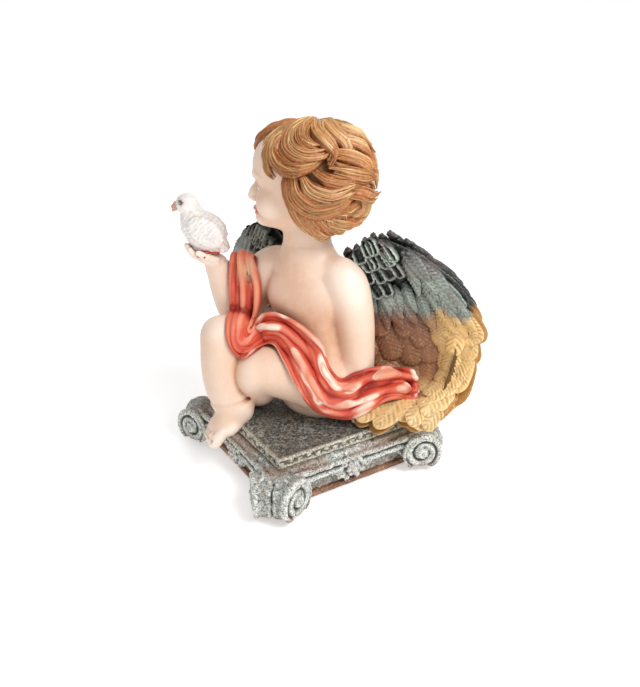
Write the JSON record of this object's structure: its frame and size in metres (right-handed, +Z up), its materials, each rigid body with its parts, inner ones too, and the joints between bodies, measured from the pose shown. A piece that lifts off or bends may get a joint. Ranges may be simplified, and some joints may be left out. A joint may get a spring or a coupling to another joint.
{
  "type": "angel figurine",
  "caption": "Resin cherub with wings and a red sash, seated on a scrolled column capital, with a white dove on its raised hand.",
  "frame": {"origin": "centre of the felt pad's underside, on the surface that the figurine stands on", "axes": "+Z up, -Y is the capital's front, which the cherub's legs point to, and +X is the cherub's left side"},
  "size_m": [0.1071, 0.0934, 0.1269],
  "materials": {
    "felt": "dark green felt",
    "brown_stone": "cast resin with a brown wash",
    "stone": "cast resin painted as speckled grey-green stone",
    "slab_stone": "cast resin painted as darker speckled stone",
    "dowel": "plain beech dowel",
    "skin": "satin flesh paint on cast resin",
    "hair": "golden brown paint with paler ridges",
    "cloth_paint": "orange-red paint with cream ridges",
    "feather_paint": "grey-green paint that fades to ochre",
    "pin": "plain steel wire",
    "dove_white": "pearly white paint",
    "beak_paint": "flesh paint",
    "claw_paint": "red-brown paint"
  },
  "bodies": {
    "root": {"felt_pad": "felt", "bottom_plate": "brown_stone", "capital_block": "stone", "corner_scrolls_front_left": "stone", "corner_scrolls_back_left": "stone", "corner_scrolls_back_right": "stone", "corner_scrolls_front_right": "stone", "abacus_slab": "slab_stone", "seat_dowel": "dowel", "torso": "skin", "head": "skin", "hair": "hair", "left_arm": "skin", "right_arm": "skin", "left_leg": "skin", "right_leg": "skin", "sash": "cloth_paint", "left_wing": "feather_paint", "right_wing": "feather_paint", "left_wing_pin": "pin", "right_wing_pin": "pin", "dove": "dove_white", "dove_beak": "beak_paint", "dove_feet": "claw_paint", "dove_pin": "pin"}
  },
  "joints": []
}
